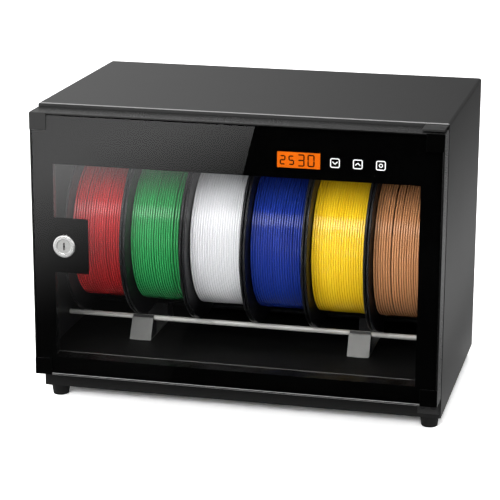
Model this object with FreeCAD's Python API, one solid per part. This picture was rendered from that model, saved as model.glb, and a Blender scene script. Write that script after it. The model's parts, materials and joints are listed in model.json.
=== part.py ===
import FreeCAD, Part
import math
import os

Vector = FreeCAD.Vector

# A drying cabinet for filament spools: a steel case with a lockable glass door, in millimetres.
# It is drawn with the case's front at y = 0, its underside at z = 0 and the back towards +y.
# On export every piece moves so that the origin lies at the bottom centre of the whole cabinet.

# Spools of filament
spool_count = 6
spool_radius = 100.0
spool_width = 67.5
spool_gap = 1.0
spool_flange = 2.9
spool_rim_round = 1.2
hub_radius = 40.0
spool_bore_radius = 20.0
wound_radius = 81.0
strand = 1.75
layer_clearance = 0.1
core_end_gap = 0.3

# Rods that carry the spools, with their stands
rod_radius = 3.0
rod_spread = 31.1
rod_height = 22.1
rod_end_gap = 1.0
rolling_gap = 0.3
running_gap = 0.05
stand_places = (-132.2, 121.2)
stand_width = 25.0
stand_leg_height = 23.5
stand_lean = 11.2
stand_reach = 6.9
stand_crease = 1.2
saddle_width = 24.0
saddle_back = 7.0
saddle_rise = 4.0
flange_scoop = 0.8

# Steel case
sheet = 1.5
rear_sheet = 1.2
top_bend = 3.0
front_flange = 16.0
rear_flange = 13.5
floor_height = 40.0
sill_rise = 2.4
base_lip = 10.0
base_turn_up = 12.0
side_room = 18.5
head_room = 64.4
spool_front_gap = 15.2
rear_panel_gap = 0.3
air_slot = (40.0, 4.0)
floor_slot_columns = 6
floor_slot_rows = 3
floor_slot_pitch = (62.0, 10.0)
rear_slot_columns = 3
rear_slot_rows = 7
rear_slot_pitch = (48.0, 8.0)

# Feet
foot_height = 13.0
foot_top_radius = 10.5
foot_bottom_radius = 9.0
foot_inset_x = 14.0
foot_inset_y = 13.0
foot_round = 1.0
foot_recess = (5.0, 8.0)

# Door
door_gap = 3.0
door_thickness = 28.0
door_bottom = 24.0
door_top_gap = 3.0
door_side_inset = 0.25
frame_width = 19.0
frame_lip = 2.0
frame_wall = 2.0
frame_inner_wall = 1.5
glass_thickness = 4.0
glass_recess = 0.2
glass_edge_gap = 0.25
print_thickness = 0.2
border_side = 24.5
border_top = 56.5
border_bottom = 20.5
cap_proud = 0.7
cap_slot_gap = 0.1
cap_tongue = 10.0
cap_tongue_gap = 0.15
seal_inset = 4.25
seal_width = 7.0
seal_gap = 0.3

# Hinge on the right
hinge_inset_x = 5.75
hinge_inset_y = 12.0
hinge_plate_width = 23.5
hinge_plate_thickness = 2.0
hinge_plate_side_gap = 1.75
hinge_plate_front = 26.0
hinge_plate_back = 28.0
hinge_leg_depth = 18.0
hinge_gap = 1.0
hinge_pin_radius = 2.5
hinge_pin_reach = 11.0
bush_radius = 4.5
bush_flange = (6.0, 0.7)
bush_length = 12.0

# Display and controls at the top of the door
lcd_size = (46.0, 17.0)
lcd_from_right = 153.75
lcd_from_top = 36.8
lcd_rim = 2.0
lcd_thickness = 2.5
board_thickness = 1.6
control_cover_span = (40.0, 205.0)
control_cover_height = 34.0
control_cover_depth = 15.0
control_cover_wall = 1.5
control_board_margin = 3.0
control_chip = (14.0, 14.0, 1.8)
control_plug = (14.0, 8.0, 6.0)
control_plug_margin = 10.0
control_pad = 6.0
control_pad_margin = 9.0

# Cam lock on the left
lock_from_left = 37.0
lock_above_middle = 1.2
lock_bezel = (12.5, 3.2)
lock_bezel_round = 1.4
lock_barrel_radius = 9.0
lock_barrel_length = 23.0
lock_plug_radius = 7.75
lock_plug_recess = 0.8
lock_hole_gap = 0.3
lock_tail = 8.0
key_slot = (1.9, 8.6, 12.0)
lock_nut = (13.0, 4.0)
lock_cam_reach = 28.0
lock_cam_width = 12.0
lock_cam_hub_radius = 9.0
lock_cam_thickness = 2.0
lock_cam_gap = 0.5
cam_screw_head = (6.0, 2.5)
lock_tab_reach = 26.5
lock_tab_half_height = 31.0

# Drying unit on the rear panel
dryer_gap = 6.8
dryer_depth = 38.8
dryer_size = (160.0, 121.0)
dryer_wall = 2.0
dryer_boss_radius = 4.0
dryer_slot_count = 7
dryer_slot = (4.0, 24.0)
dryer_slot_pitch = 12.0
unit_screw_length = 13.0
fan_size = 60.0
fan_thickness = 15.0
fan_bore_radius = 28.5
fan_hub_radius = 14.0
fan_hub_wall = 2.0
fan_blade_tip_gap = 1.0
fan_blade_count = 7
fan_blade_angle = 40.0
fan_blade = (11.0, 1.2)
fan_shaft_radius = 1.5
fan_post_radius = 3.5
fan_post_gap = 2.0
fan_screw_pitch = 50.0
fan_guard_rings = (10.0, 16.0, 22.0)
fan_guard_bar = 1.6
heater_size = (76.0, 52.0, 14.0)
heater_bar = 4.0
heater_fin_count = 18
heater_fin = 0.8
heater_end = 8.0
heater_fan_gap = 3.0

# Supply board in the base, with its inlet
supply_board_size = (140.0, 90.0)
supply_board_place = (30.0, 62.0)
standoff = (3.0, 6.0)
supply_margin = 14.0
terminal_block = (20.0, 14.0, 12.0)
transformer = (28.0, 24.0, 16.0)
capacitor = (6.5, 20.0)
coil = (9.0, 9.0)
component_gap = 5.0
inlet_place = (150.0, 20.0)
inlet_body_radius = 5.5
inlet_body_length = 15.0
inlet_flange = (7.5, 2.0)
inlet_socket = (2.75, 10.0)
inlet_pin_radius = 1.0
inlet_nut = (8.0, 2.5)

# Humidity sensor on the right wall
sensor_size = (10.0, 28.0, 36.0)
sensor_from_front = 40.0
sensor_from_top = 18.0
sensor_slot_count = 5
sensor_slot_margin = 5.0
sensor_round = 2.0

# Screws, all of one size
screw_radius = 1.5
screw_hole_gap = 0.1
screw_head = (3.2, 1.8)
screw_grip = 3.0

# Places that follow from the sizes above
spool_pitch = spool_width + spool_gap
spool_row = spool_count * spool_pitch - spool_gap
rod_distance = spool_radius + rod_radius + rolling_gap
spool_axis_y = spool_front_gap + spool_radius
rod_z = floor_height + rod_height
spool_axis_z = rod_z + math.sqrt(rod_distance ** 2 - rod_spread ** 2)
half_width = spool_row / 2 + side_room + sheet
inner_half = half_width - sheet
case_height = spool_axis_z + spool_radius + head_room
case_depth = spool_axis_y + spool_radius + dryer_gap + dryer_depth + rear_sheet
rear_inner = case_depth - rear_sheet
rear_flange_front = rear_inner - sheet
opening_half = half_width - front_flange
opening_top = case_height - front_flange
sill_z = floor_height + sill_rise
door_half = half_width - door_side_inset
door_top = case_height - sheet - door_top_gap
door_back = -door_gap
door_front = door_back - door_thickness
glass_front = door_front + glass_recess
glass_back = glass_front + glass_thickness
print_back = glass_back + print_thickness
hinge_x = door_half - hinge_inset_x
hinge_y = door_back - hinge_inset_y
lock_x = -door_half + lock_from_left
lock_z = (door_bottom + door_top) / 2 + lock_above_middle
dryer_z = spool_axis_z
front_most = glass_front - lock_bezel[1]
rear_most = case_depth + inlet_flange[1]
to_part = Vector(0, -(front_most + rear_most) / 2, foot_height)

X = Vector(1, 0, 0)
Y = Vector(0, 1, 0)
Z = Vector(0, 0, 1)
screw_hole = screw_radius + screw_hole_gap


def block(x0, x1, y0, y1, z0, z1):
    return Part.makeBox(x1 - x0, y1 - y0, z1 - z0, Vector(x0, y0, z0))


def bar(radius, start, direction, length):
    return Part.makeCylinder(radius, length, start, direction)


def prism(points, sweep):
    return Part.Face(Part.makePolygon(points + points[:1])).extrude(sweep)


def hexagon(corner_radius, centre, thickness):
    corners = [centre + Vector(math.cos(a), 0, math.sin(a)) * corner_radius
               for a in (math.radians(60 * i) for i in range(6))]
    return prism(corners, Y * thickness)


def joined(shapes):
    return shapes[0].multiFuse(shapes[1:]).removeSplitter()


def mirrored_x(shape):
    return shape.mirror(Vector(0, 0, 0), X)


def screw(seat, direction, length):
    """A pan-head screw: its head stands on seat, and its shank runs along direction."""
    head_radius, head_height = screw_head
    head = bar(head_radius, seat - direction * head_height, direction, head_height)
    return joined([head, bar(screw_radius, seat, direction, length)])


def save(name, *shapes):
    solids = [solid for shape in shapes for solid in shape.Solids]
    whole = Part.makeCompound(solids) if len(solids) > 1 else solids[0]
    whole = whole.copy()
    whole.translate(to_part)
    whole.exportStep(os.path.join("parts", name + ".step"))
    print(name, "solids", len(solids), "valid", whole.isValid())


def place_text(point):
    moved = point + to_part
    return "%.2f, %.2f, %.2f" % (moved.x, moved.y, moved.z)


# Places of the fasteners, shared by the screws and by the holes that they pass
foot_places = [Vector(x, y, 0)
               for x in (foot_inset_x - half_width, half_width - foot_inset_x)
               for y in (foot_inset_y, case_depth - foot_inset_y)]
rear_edge_x = inner_half - rear_flange / 2
rear_screw_places = [Vector(x, case_depth, z)
                     for x in (-rear_edge_x, rear_edge_x)
                     for z in (floor_height / 2, spool_axis_z, case_height - sheet - rear_flange / 2)]
dryer_boss_inset = dryer_wall / 2 + dryer_boss_radius
dryer_boss_x = dryer_size[0] / 2 - dryer_boss_inset
dryer_boss_z = dryer_size[1] / 2 - dryer_boss_inset
dryer_screw_places = [Vector(x, case_depth, dryer_z + z)
                      for x in (-dryer_boss_x, dryer_boss_x)
                      for z in (-dryer_boss_z, dryer_boss_z)]
dryer_front = rear_inner - dryer_depth
fan_front = dryer_front + dryer_wall
fan_screw_places = [Vector(x, dryer_front, dryer_z + z)
                    for x in (-fan_screw_pitch / 2, fan_screw_pitch / 2)
                    for z in (-fan_screw_pitch / 2, fan_screw_pitch / 2)]
supply_left = supply_board_place[0] - supply_board_size[0] / 2
supply_right = supply_left + supply_board_size[0]
supply_back = rear_flange_front - supply_board_place[1] + supply_board_size[1] / 2
supply_front = supply_back - supply_board_size[1]
standoff_margin = 2 * standoff[0]
standoff_places = [Vector(x, y, sheet)
                   for x in (supply_left + standoff_margin, supply_right - standoff_margin)
                   for y in (supply_back - standoff_margin, supply_front + standoff_margin)]
hinge_plate_right = inner_half + sheet - hinge_plate_side_gap
hinge_plate_left = hinge_plate_right - hinge_plate_width
hinge_plate_middle = (hinge_plate_left + hinge_plate_right) / 2
hinge_screw_offset = hinge_plate_width / 4
upper_plate_z = door_top + hinge_gap
lower_plate_z = door_bottom - hinge_gap
upper_hinge_screws = [Vector(hinge_plate_middle + x, hinge_plate_back - hinge_screw_offset, upper_plate_z)
                      for x in (-hinge_screw_offset, hinge_screw_offset)]
lower_screw_z = lower_plate_z - hinge_leg_depth / 2
lower_hinge_screws = [Vector(hinge_plate_middle + x, -hinge_plate_thickness, lower_screw_z)
                      for x in (-hinge_screw_offset, hinge_screw_offset)]
rod_places = (spool_axis_y - rod_spread, spool_axis_y + rod_spread)
stand_screw_places = [Vector(x, y, floor_height - sheet) for x in stand_places for y in rod_places]


def cabinet_shell():
    """Top and both sides, folded from one sheet, with flanges turned in at the front and rear."""
    outer = block(-half_width, half_width, 0, case_depth, 0, case_height)
    inner = block(-inner_half, inner_half, -1, case_depth + 1, -1, case_height - sheet)

    def top_edges(shape):
        high = [e for e in shape.Edges if e.BoundBox.ZMin > case_height - 2 * sheet]
        return [e for e in high if e.BoundBox.YLength > 1]

    outer = outer.makeFillet(top_bend, top_edges(outer))
    inner = inner.makeFillet(top_bend - sheet, top_edges(inner))
    skin = outer.cut(inner)
    front = block(-inner_half, inner_half, 0, sheet, sill_z, case_height - sheet)
    front = front.cut(block(-opening_half, opening_half, -1, sheet + 1, sill_z - 1, opening_top))
    rear_opening = inner_half - rear_flange
    rear = block(-inner_half, inner_half, rear_flange_front, rear_inner, 0, case_height - sheet)
    rear = rear.cut(block(-rear_opening, rear_opening, 0, case_depth, -1, case_height - sheet - rear_flange))
    corner_keep = block(-half_width, half_width, 0, case_depth, 0, case_height).cut(outer)
    shell = joined([skin, front.cut(corner_keep), rear.cut(corner_keep)])
    notch = block(hinge_plate_left - hinge_gap / 2, inner_half, -1, sheet + 1,
                  upper_plate_z - hinge_gap / 2, case_height - sheet)
    shell = shell.cut(notch)
    for place in upper_hinge_screws:
        shell = shell.cut(bar(screw_hole, place, Z, case_height - sheet / 2 - place.z))
    for place in rear_screw_places:
        shell = shell.cut(bar(screw_hole, place, -Y, rear_sheet + sheet + screw_grip))
    return shell


def base_pan():
    """Tray under the case. Its front and rear walls end in lips that carry the floor."""
    wall_top = floor_height - sheet
    rear_half = inner_half - rear_flange
    shapes = [
        block(-inner_half, inner_half, 0, rear_flange_front, 0, sheet),
        block(-inner_half, inner_half, 0, sheet, 0, wall_top),
        block(-inner_half, inner_half, 0, base_lip, wall_top - sheet, wall_top),
        block(-rear_half, rear_half, rear_flange_front, rear_inner, 0, wall_top),
        block(-rear_half, rear_half, rear_inner - base_lip, rear_inner, wall_top - sheet, wall_top)]
    for side in (-inner_half, inner_half - sheet):
        shapes.append(block(side, side + sheet, 0, rear_flange_front, 0, base_turn_up))
    pan = joined(shapes)
    for place in foot_places:
        pan = pan.cut(bar(screw_hole, place - Z, Z, sheet + 2))
    for place in lower_hinge_screws:
        pan = pan.cut(bar(screw_hole, place, Y, hinge_plate_thickness + sheet + screw_grip))
    inlet_centre = Vector(inlet_place[0], case_depth, inlet_place[1])
    return pan.cut(bar(inlet_body_radius + screw_hole_gap, inlet_centre, -Y, 2 * base_lip))


def floor_plate():
    """Inner floor, with a low sill turned up at the front and warm-air slots at the back."""
    plate = joined([
        block(-inner_half, inner_half, 0, rear_flange_front, floor_height - sheet, floor_height),
        block(-inner_half, inner_half, 0, sheet, floor_height - sheet, sill_z)])
    slot_length, slot_width = air_slot
    for column in range(floor_slot_columns):
        x = (column - (floor_slot_columns - 1) / 2) * floor_slot_pitch[0]
        for row in range(floor_slot_rows):
            y = rear_flange_front - base_lip - (row + 1) * floor_slot_pitch[1]
            plate = plate.cut(block(x - slot_length / 2, x + slot_length / 2, y, y + slot_width,
                                    floor_height - 2 * sheet, floor_height + sheet))
    for place in stand_screw_places:
        plate = plate.cut(bar(screw_hole, place - Z, Z, sheet + 2))
    return plate


def rear_panel():
    """Flat rear panel, let in flush, with intake slots behind the heater."""
    half = inner_half - rear_panel_gap
    panel = block(-half, half, rear_inner, case_depth, rear_panel_gap, case_height - sheet - rear_panel_gap)
    top_corners = [e for e in panel.Edges if e.BoundBox.ZMin > case_height / 2 and e.BoundBox.XLength < 1]
    panel = panel.makeFillet(top_bend, [e for e in top_corners if e.BoundBox.ZLength < 1])
    slot_length, slot_width = air_slot
    for column in range(rear_slot_columns):
        x = (column - (rear_slot_columns - 1) / 2) * rear_slot_pitch[0]
        for row in range(rear_slot_rows):
            z = dryer_z + (row - (rear_slot_rows - 1) / 2) * rear_slot_pitch[1]
            panel = panel.cut(block(x - slot_length / 2, x + slot_length / 2, rear_inner - 1, case_depth + 1,
                                    z - slot_width / 2, z + slot_width / 2))
    for place in rear_screw_places + dryer_screw_places:
        panel = panel.cut(bar(screw_hole, place, -Y, 2 * rear_sheet))
    inlet_centre = Vector(inlet_place[0], case_depth, inlet_place[1])
    return panel.cut(bar(inlet_body_radius + screw_hole_gap, inlet_centre, -Y, 2 * rear_sheet))


def foot(place):
    recess_radius, recess_depth = foot_recess
    body = Part.makeCone(foot_bottom_radius, foot_top_radius, foot_height, place - Z * foot_height, Z)
    lower_edge = [e for e in body.Edges if e.BoundBox.ZMax < 1 - foot_height and e.BoundBox.XLength > 1]
    body = body.makeFillet(foot_round, lower_edge)
    body = body.cut(bar(recess_radius, place - Z * foot_height, Z, recess_depth))
    return body.cut(bar(screw_hole, place - Z * foot_height, Z, foot_height))


def rod_stand(x):
    """One folded strip: a strap on the floor with a creased leg leaning in at each end."""
    wall = sheet / math.cos(math.atan2(stand_lean, stand_leg_height))
    foot_y = rod_places[0] - stand_reach - stand_lean
    half = stand_width / 2
    front_edge = [(x - half, foot_y), (x, foot_y - stand_crease), (x + half, foot_y)]
    back_edge = [(across, depth + wall) for across, depth in reversed(front_edge)]
    outline = [Vector(across, depth, floor_height) for across, depth in front_edge + back_edge]
    leg = prism(outline, Vector(0, stand_lean, stand_leg_height))
    rear_leg = leg.mirror(Vector(0, spool_axis_y, 0), Y)
    strap = block(x - half, x + half, foot_y, 2 * spool_axis_y - foot_y, floor_height, floor_height + sheet)
    stand = joined([leg, rear_leg, strap])
    for y in rod_places:
        stand = stand.cut(bar(screw_hole, Vector(x, y, floor_height - 1), Z, sheet + 2))
    return stand


def front_saddle(x):
    """Nylon rod bearing behind a stand's front leg, scooped out so that the flanges pass over it."""
    wall = sheet / math.cos(math.atan2(stand_lean, stand_leg_height))
    rod_y = rod_places[0]
    foot_back = rod_y - stand_reach - stand_lean + wall + screw_hole_gap
    low = floor_height + sheet
    high = rod_z + saddle_rise
    slope = stand_lean / stand_leg_height
    left = x - saddle_width / 2
    outline = [Vector(left, foot_back + slope * (low - floor_height), low),
               Vector(left, foot_back + slope * (high - floor_height), high),
               Vector(left, rod_y + saddle_back, high),
               Vector(left, rod_y + saddle_back, low)]
    saddle = prism(outline, X * saddle_width)
    reach = saddle_width + 2
    saddle = saddle.cut(bar(rod_radius + running_gap, Vector(left - 1, rod_y, rod_z), X, reach))
    scoop = bar(spool_radius + flange_scoop, Vector(left - 1, spool_axis_y, spool_axis_z), X, reach)
    saddle = saddle.cut(scoop)
    return saddle.cut(bar(screw_hole, Vector(x, rod_y, low - 1), Z, rod_height / 2))


def upper_hinge_plate():
    """Plate under the case top that reaches out over the door, narrower where the top bends down."""
    top = upper_plate_z + hinge_plate_thickness
    plate = joined([
        block(hinge_plate_left, hinge_plate_right, -hinge_plate_front, 0, upper_plate_z, top),
        block(hinge_plate_left, inner_half - top_bend, 0, hinge_plate_back, upper_plate_z, top)])
    plate = plate.cut(bar(hinge_pin_radius + running_gap, Vector(hinge_x, hinge_y, upper_plate_z - 1), Z,
                          hinge_plate_thickness + 2))
    for place in upper_hinge_screws:
        plate = plate.cut(bar(screw_hole, place - Z, Z, hinge_plate_thickness + 2))
    return plate


def lower_hinge_plate():
    """Angle bracket on the base front that carries the door from below."""
    shelf = block(hinge_plate_left, hinge_plate_right, -hinge_plate_front, 0,
                  lower_plate_z - hinge_plate_thickness, lower_plate_z)
    leg = block(hinge_plate_left, hinge_plate_right, -hinge_plate_thickness, 0,
                lower_plate_z - hinge_leg_depth, lower_plate_z)
    plate = joined([shelf, leg])
    plate = plate.cut(bar(hinge_pin_radius + running_gap, Vector(hinge_x, hinge_y, lower_plate_z + 1), -Z,
                          hinge_plate_thickness + 2))
    for place in lower_hinge_screws:
        plate = plate.cut(bar(screw_hole, place - Y, Y, hinge_plate_thickness + 2))
    return plate


def hinge_pins():
    length = hinge_plate_thickness + hinge_gap + hinge_pin_reach
    upper = bar(hinge_pin_radius, Vector(hinge_x, hinge_y, upper_plate_z + hinge_plate_thickness), -Z, length)
    lower = bar(hinge_pin_radius, Vector(hinge_x, hinge_y, lower_plate_z - hinge_plate_thickness), Z, length)
    return [upper, lower]


def hinge_bush(seat, inward):
    """Flanged nylon bush: its flange lies on the door's edge at seat, and its barrel runs inward."""
    flange_radius, flange_height = bush_flange
    shape = joined([bar(flange_radius, seat - inward * flange_height, inward, flange_height),
                    bar(bush_radius, seat, inward, bush_length)])
    return shape.cut(bar(hinge_pin_radius + running_gap, seat - inward, inward, bush_length + 2))


def dryer_housing():
    """Moulded cover over the fan and heater, open towards the rear panel."""
    half_x = dryer_size[0] / 2
    low, high = dryer_z - dryer_size[1] / 2, dryer_z + dryer_size[1] / 2
    outer = block(-half_x, half_x, dryer_front, rear_inner, low, high)
    edges = [e for e in outer.Edges if e.BoundBox.YMax < dryer_front + 1]
    outer = outer.makeFillet(dryer_wall, edges)
    hollow_x = half_x - dryer_wall
    housing = outer.cut(block(-hollow_x, hollow_x, fan_front, rear_inner + 1,
                              low + dryer_wall, high - dryer_wall))
    centre = Vector(0, dryer_front - 1, dryer_z)
    grille = bar(fan_bore_radius, centre, Y, dryer_wall + 2)
    for ring in fan_guard_rings:
        bead = bar(ring + fan_guard_bar / 2, centre, Y, dryer_wall + 2)
        grille = grille.cut(bead.cut(bar(ring - fan_guard_bar / 2, centre, Y, dryer_wall + 2)))
    reach = fan_bore_radius + fan_guard_bar
    for half_across, half_up in ((reach, fan_guard_bar), (fan_guard_bar, reach)):
        grille = grille.cut(block(-half_across, half_across, centre.y, fan_front + 1,
                                  dryer_z - half_up, dryer_z + half_up))
    housing = housing.cut(grille)
    slot_width, slot_length = dryer_slot
    for index in range(dryer_slot_count):
        z = dryer_z + (index - (dryer_slot_count - 1) / 2) * dryer_slot_pitch
        housing = housing.cut(block(-half_x - 1, half_x + 1, rear_inner - dryer_wall - slot_length,
                                    rear_inner - dryer_wall, z - slot_width / 2, z + slot_width / 2))
    bosses = [bar(dryer_boss_radius, Vector(p.x, fan_front, p.z), Y, rear_inner - fan_front)
              for p in dryer_screw_places]
    housing = joined([housing] + bosses)
    for place in dryer_screw_places:
        housing = housing.cut(bar(screw_hole, place, -Y, unit_screw_length + screw_grip))
    for place in fan_screw_places:
        housing = housing.cut(bar(screw_hole, place - Y, Y, dryer_wall + 2))
    return housing


def fan_frame():
    """Square fan frame with a bearing post on four struts at the back."""
    half = fan_size / 2
    back = fan_front + fan_thickness
    centre = Vector(0, fan_front, dryer_z)
    ring = block(-half, half, fan_front, back, dryer_z - half, dryer_z + half)
    ring = ring.cut(bar(fan_bore_radius, centre, Y, fan_thickness))
    strut = fan_hub_wall
    disc = bar(fan_hub_radius, centre + Y * (fan_thickness - strut), Y, strut)
    reach = fan_bore_radius + 1
    cross = [block(-reach, reach, back - strut, back, dryer_z - strut, dryer_z + strut),
             block(-strut, strut, back - strut, back, dryer_z - reach, dryer_z + reach)]
    post_start = 2 * fan_hub_wall + fan_post_gap
    post = bar(fan_post_radius, centre + Y * post_start, Y, fan_thickness - post_start)
    frame = joined([ring, disc, post] + cross)
    frame = frame.cut(bar(fan_shaft_radius + running_gap, centre, Y, fan_thickness - strut / 2))
    for place in fan_screw_places:
        frame = frame.cut(bar(screw_hole, place, Y, dryer_wall + fan_thickness + 1))
    return frame


def fan_rotor():
    """Cup-shaped hub with swept blades, on a shaft that runs in the frame's post."""
    start = Vector(0, fan_front + fan_hub_wall, dryer_z)
    cup_length = fan_thickness - 3 * fan_hub_wall
    cup = bar(fan_hub_radius, start, Y, cup_length)
    cup = cup.cut(bar(fan_hub_radius - fan_hub_wall, start + Y * fan_hub_wall, Y, cup_length))
    shaft = bar(fan_shaft_radius, start, Y, fan_thickness - 3 * fan_hub_wall)
    chord, thickness = fan_blade
    root = fan_hub_radius - fan_hub_wall / 2
    tip = fan_bore_radius - fan_blade_tip_gap
    middle = start + Y * (cup_length / 2)
    blades = []
    for index in range(fan_blade_count):
        blade = Part.makeBox(thickness, chord, tip - root, Vector(-thickness / 2, -chord / 2, root))
        blade.rotate(Vector(0, 0, 0), Z, fan_blade_angle)
        blade.rotate(Vector(0, 0, 0), Y, index * 360 / fan_blade_count)
        blade.translate(middle)
        blades.append(blade.common(bar(tip, start, Y, cup_length)))
    return joined([cup, shaft] + blades)


def heater_fins():
    """Heater core: two bars with thin fins between them."""
    length, height, depth = heater_size
    front = fan_front + fan_thickness + heater_fan_gap
    low, high = dryer_z - height / 2, dryer_z + height / 2
    shapes = [block(-length / 2, length / 2, front, front + depth, low, low + heater_bar),
              block(-length / 2, length / 2, front, front + depth, high - heater_bar, high)]
    step = (length - heater_fin) / (heater_fin_count - 1)
    for index in range(heater_fin_count):
        x = -length / 2 + index * step
        shapes.append(block(x, x + heater_fin, front, front + depth, low + heater_bar, high - heater_bar))
    return joined(shapes)


def heater_ends():
    """Heat-proof end blocks that stand on the rear panel and hold the heater core."""
    length, height, depth = heater_size
    front = fan_front + fan_thickness + heater_fan_gap
    low, high = dryer_z - height / 2, dryer_z + height / 2
    right = block(length / 2, length / 2 + heater_end, front, rear_inner, low, high)
    return [right, mirrored_x(right)]


def supply_board():
    """Circuit board with its taller components, all one soldered piece."""
    low = sheet + standoff[1]
    top = low + board_thickness
    board = block(supply_left, supply_right, supply_front, supply_back, low, top)
    for place in standoff_places:
        board = board.cut(bar(screw_hole, place, Z, top))
    middle_y = (supply_front + supply_back) / 2
    length, depth, height = terminal_block
    terminal_right, terminal_back = supply_right - supply_margin, supply_back - component_gap
    components = [block(terminal_right - length, terminal_right, terminal_back - depth, terminal_back,
                        top, top + height)]
    length, depth, height = transformer
    coil_left = supply_left + supply_margin + length + component_gap
    components.append(block(coil_left - component_gap - length, coil_left - component_gap,
                            middle_y - depth / 2, middle_y + depth / 2, top, top + height))
    radius, height = coil
    capacitor_left = coil_left + 2 * radius + component_gap
    components.append(bar(radius, Vector(coil_left + radius, middle_y, top), Z, height))
    radius, height = capacitor
    for y in (middle_y - 2 * radius, middle_y + radius):
        components.append(bar(radius, Vector(capacitor_left + radius, y, top), Z, height))
    return joined([board] + components)


def dc_inlet():
    """Barrel socket through the rear panel, with its centre pin."""
    flange_radius, flange_height = inlet_flange
    socket_radius, socket_depth = inlet_socket
    mouth = Vector(inlet_place[0], case_depth + flange_height, inlet_place[1])
    body = joined([bar(flange_radius, mouth, -Y, flange_height),
                   bar(inlet_body_radius, mouth, -Y, flange_height + inlet_body_length)])
    body = body.cut(bar(socket_radius, mouth, -Y, socket_depth))
    return joined([body, bar(inlet_pin_radius, mouth - Y * (socket_depth + 1), Y, socket_depth - 1)])


def dc_inlet_nut():
    corner_radius, thickness = inlet_nut
    seat = Vector(inlet_place[0], rear_flange_front - thickness, inlet_place[1])
    nut = hexagon(corner_radius, seat, thickness)
    return nut.cut(bar(inlet_body_radius + running_gap, seat - Y, Y, thickness + 2))


def humidity_sensor():
    """Slotted plastic pod on the right wall."""
    depth, length, height = sensor_size
    top = case_height - sensor_from_top
    face = inner_half - depth
    front, back = sensor_from_front, sensor_from_front + length
    pod = block(face, inner_half, front, back, top - height, top)
    pod = pod.makeFillet(sensor_round, [e for e in pod.Edges if e.BoundBox.XMax < face + 1])
    pitch = height / (sensor_slot_count + 1)
    for index in range(sensor_slot_count):
        z = top - (index + 1) * pitch
        pod = pod.cut(block(face - 1, face + depth / 2, front + sensor_slot_margin, back - sensor_slot_margin,
                            z - pitch / 4, z + pitch / 4))
    return pod


def frame_bar(edge, inward, run):
    """Extruded door profile: a box section with a lip round the glass, from edge, along run."""
    shelf = print_back
    back = door_back
    outer = [(0, door_front), (frame_lip, door_front), (frame_lip, shelf), (frame_width, shelf),
             (frame_width, back), (0, back)]
    inner = [(frame_lip, shelf + frame_wall), (frame_width - frame_inner_wall, shelf + frame_wall),
             (frame_width - frame_inner_wall, back - frame_wall), (frame_lip, back - frame_wall)]

    def solid(outline):
        return prism([edge + inward * across + Y * depth for across, depth in outline], run)

    return solid(outer).cut(solid(inner))


def door_stiles():
    run = Z * (door_top - door_bottom - 2 * frame_width)
    left = frame_bar(Vector(-door_half, 0, door_bottom + frame_width), X, run)
    return [left, mirrored_x(left)]


def door_rails():
    run = X * (2 * (door_half - frame_width))
    start = Vector(frame_width - door_half, 0, 0)
    return [frame_bar(start + Z * door_bottom, Z, run), frame_bar(start + Z * door_top, -Z, run)]


def corner_cap(side, end):
    """Moulded corner: a block with a slot for the glass and a tongue into each frame tube."""
    x_edge, z_edge = side * door_half, (door_top if end > 0 else door_bottom)

    def box(u0, u1, y0, y1, w0, w1):
        xs = sorted((x_edge - side * u0, x_edge - side * u1))
        zs = sorted((z_edge - end * w0, z_edge - end * w1))
        return block(xs[0], xs[1], y0, y1, zs[0], zs[1])

    size = frame_width
    cap = box(0, size, door_front - cap_proud, door_back, 0, size)
    cap = cap.cut(box(frame_lip, size + 1, glass_front - cap_slot_gap, print_back + cap_slot_gap,
                      frame_lip, size + 1))
    gap = cap_tongue_gap
    low, high = frame_lip + gap, size - frame_inner_wall - gap
    y0, y1 = print_back + frame_wall + gap, door_back - frame_wall - gap
    cap = joined([cap, box(size, size + cap_tongue, y0, y1, low, high),
                  box(low, high, y0, y1, size, size + cap_tongue)])
    if side > 0:
        seat = Vector(hinge_x, hinge_y, z_edge)
        cap = cap.cut(bar(bush_radius + running_gap, seat, Z * -end, bush_length + running_gap))
    return cap


lcd_x = door_half - lcd_from_right
lcd_z = door_top - lcd_from_top
lock_centre = Vector(lock_x, 0, lock_z)
lock_hole_radius = lock_barrel_radius + lock_hole_gap


def glass_border():
    """Black print on the back of the glass, with a tab round the lock and a display window."""
    edge = frame_lip + glass_edge_gap
    half = door_half - edge
    border = block(-half, half, glass_back, print_back, door_bottom + edge, door_top - edge)
    front, back = glass_back - 1, print_back + 1
    window = block(border_side - door_half, door_half - border_side, front, back,
                   door_bottom + border_bottom, door_top - border_top)
    tab = block(-door_half, lock_x + lock_tab_reach, front, back,
                lock_z - lock_tab_half_height, lock_z + lock_tab_half_height)
    border = border.cut(window.cut(tab))
    width, height = lcd_size
    border = border.cut(block(lcd_x - width / 2, lcd_x + width / 2, front, back,
                              lcd_z - height / 2, lcd_z + height / 2))
    return border.cut(bar(lock_hole_radius, lock_centre + Y * (glass_back - 1), Y, print_thickness + 2))


def door_glass():
    edge = frame_lip + glass_edge_gap
    half = door_half - edge
    pane = block(-half, half, glass_front, glass_back, door_bottom + edge, door_top - edge)
    return pane.cut(bar(lock_hole_radius, lock_centre + Y * (glass_front - 1), Y, glass_thickness + 2))


def door_seal():
    """Magnetic gasket on the back of the door frame."""
    half = door_half - seal_inset
    low, high = door_bottom + seal_inset, door_top - seal_inset
    ring = block(-half, half, door_back, -seal_gap, low, high)
    return ring.cut(block(seal_width - half, half - seal_width, door_back - 1, 1,
                          low + seal_width, high - seal_width))


control_left = door_half - control_cover_span[1]
control_right = door_half - control_cover_span[0]
control_top = door_top - frame_width
control_bottom = control_top - control_cover_height
control_back = print_back + control_cover_depth
lcd_back = print_back + lcd_thickness


def control_cover():
    """Open tray that closes off the display and its board behind the print."""
    wall = control_cover_wall
    cover = block(control_left, control_right, print_back, control_back, control_bottom, control_top)
    return cover.cut(block(control_left + wall, control_right - wall, print_back - 1, control_back - wall,
                           control_bottom + wall, control_top - wall))


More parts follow.
